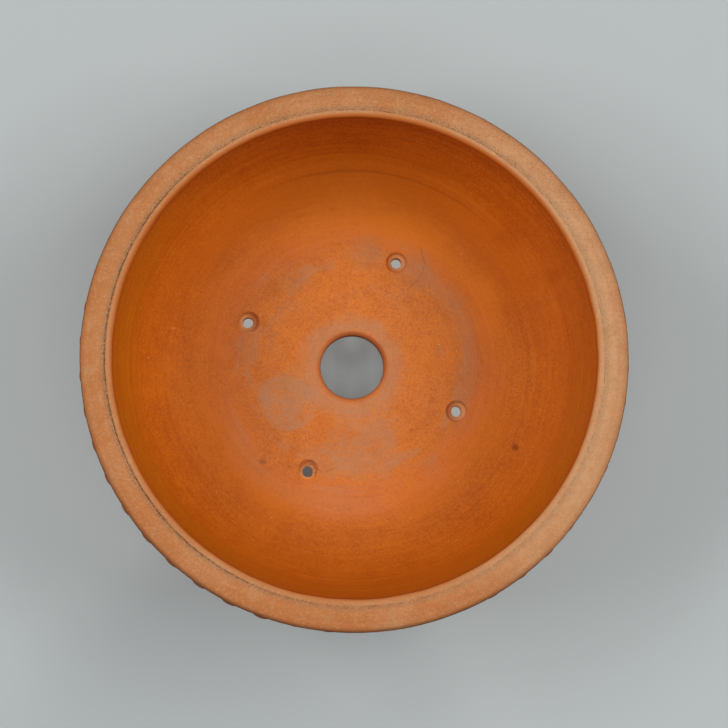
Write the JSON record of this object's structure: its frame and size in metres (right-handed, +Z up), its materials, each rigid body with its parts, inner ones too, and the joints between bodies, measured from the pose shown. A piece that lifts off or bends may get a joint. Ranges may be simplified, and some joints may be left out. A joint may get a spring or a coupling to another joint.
{
  "type": "bonsai pot",
  "caption": "Round unglazed clay bonsai pot with a wide flat rim, beaded mouth, rows of drum nails, a drain hole, wire holes and low cloud feet.",
  "frame": {"origin": "on the ground under the centre of the drain hole, level with the soles of the feet", "axes": "+Z up out of the mouth; X and Y level; one foot points to -Y, and the other two lie 120 degrees to each side of it"},
  "size_m": [0.2431, 0.2431, 0.1],
  "materials": {
    "clay_body": "unglazed orange-red clay, matt and finely sandy",
    "clay_floor": "unglazed orange-red clay with pale mineral bloom",
    "clay_rim": "unglazed clay, paler and drier on the rim's flat face",
    "clay_bead": "unglazed clay, rubbed pale, with dark grime in the crease beside it",
    "clay_trim": "unglazed clay, browner where handled",
    "clay_foot": "unglazed clay, worn on the soles"
  },
  "bodies": {
    "root": {"pot_wall": "clay_body", "floor_slab": "clay_floor", "rim_ring": "clay_rim", "lip_bead": "clay_bead", "upper_drum_nails": "clay_trim", "lower_drum_nails": "clay_trim", "upper_raised_line": "clay_trim", "lower_raised_line": "clay_trim", "cloud_feet": "clay_foot"}
  },
  "joints": []
}
